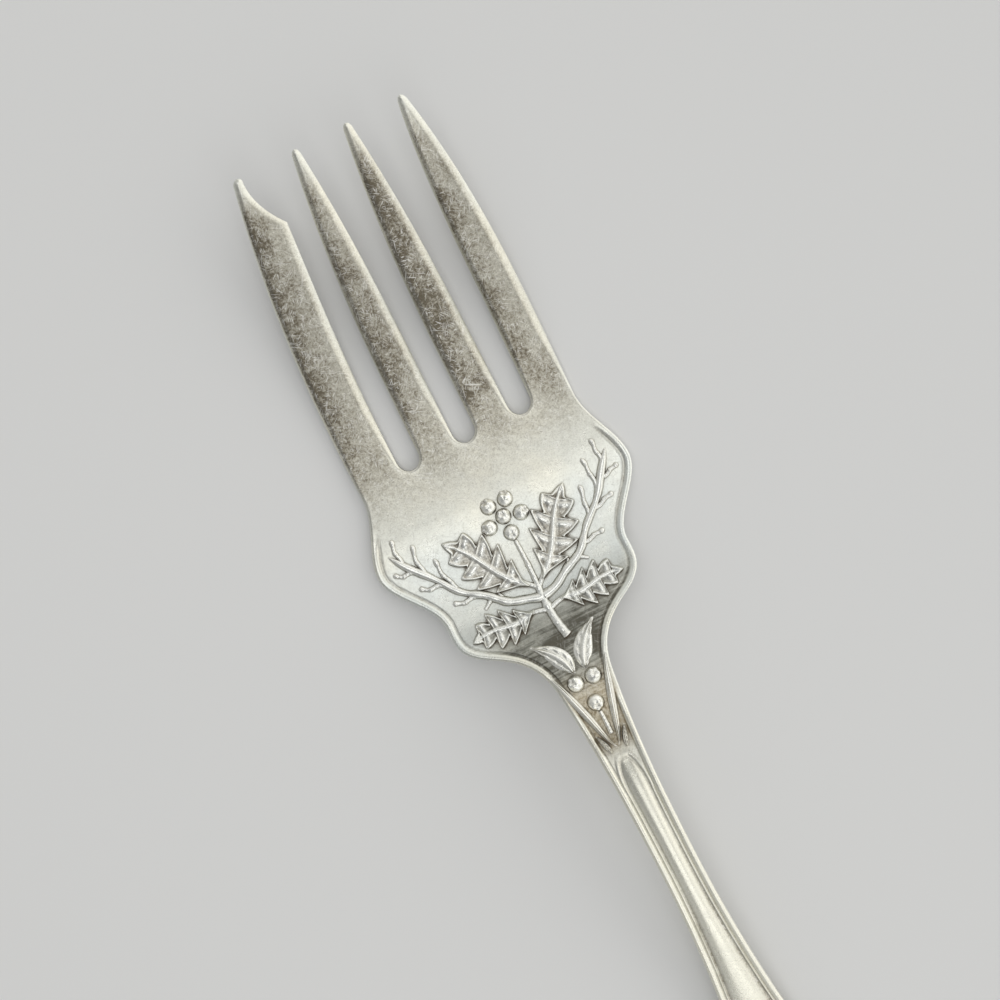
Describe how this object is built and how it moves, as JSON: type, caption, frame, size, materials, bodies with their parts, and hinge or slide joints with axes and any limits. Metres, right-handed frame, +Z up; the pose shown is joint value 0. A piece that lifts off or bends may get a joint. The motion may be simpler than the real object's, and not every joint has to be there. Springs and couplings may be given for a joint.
{
  "type": "cold meat fork",
  "caption": "Silver-plated cold meat fork with a notched cutting tine, a scalloped palm with raised leaf relief and a slender threaded handle.",
  "frame": {"origin": "on the table plane under the middle of the fork's length and width", "axes": "+Y along the fork towards the tine tips, +X to the right seen from above with the tines pointing away, +Z up out of the fork's face; the cutting tine is on the -X side"},
  "size_m": [0.052, 0.222, 0.0149],
  "materials": {
    "silver_plate": "worn silver plate on nickel silver, satin, with fine scratches and grey-brown tarnish",
    "raised_silver": "worn bright silver plate on the raised work, with dark tarnish in the hollows"
  },
  "bodies": {
    "root": {"cutting_tine": "silver_plate", "second_tine": "silver_plate", "third_tine": "silver_plate", "outer_tine": "silver_plate", "palm": "silver_plate", "neck": "silver_plate", "shank": "silver_plate", "handle_end": "silver_plate", "left_rim": "raised_silver", "right_rim": "raised_silver", "left_border": "raised_silver", "right_border": "raised_silver", "left_inner_thread": "raised_silver", "right_inner_thread": "raised_silver", "centre_reed": "raised_silver", "upper_left_leaf": "raised_silver", "upper_right_leaf": "raised_silver", "lower_left_leaf": "raised_silver", "lower_right_leaf": "raised_silver", "left_twig": "raised_silver", "right_twig": "raised_silver", "spray_stem": "raised_silver", "palm_berries": "raised_silver", "neck_left_leaf": "raised_silver", "neck_right_leaf": "raised_silver", "neck_left_bract": "raised_silver", "neck_right_bract": "raised_silver", "neck_stem": "raised_silver", "neck_berries": "raised_silver"}
  },
  "joints": []
}
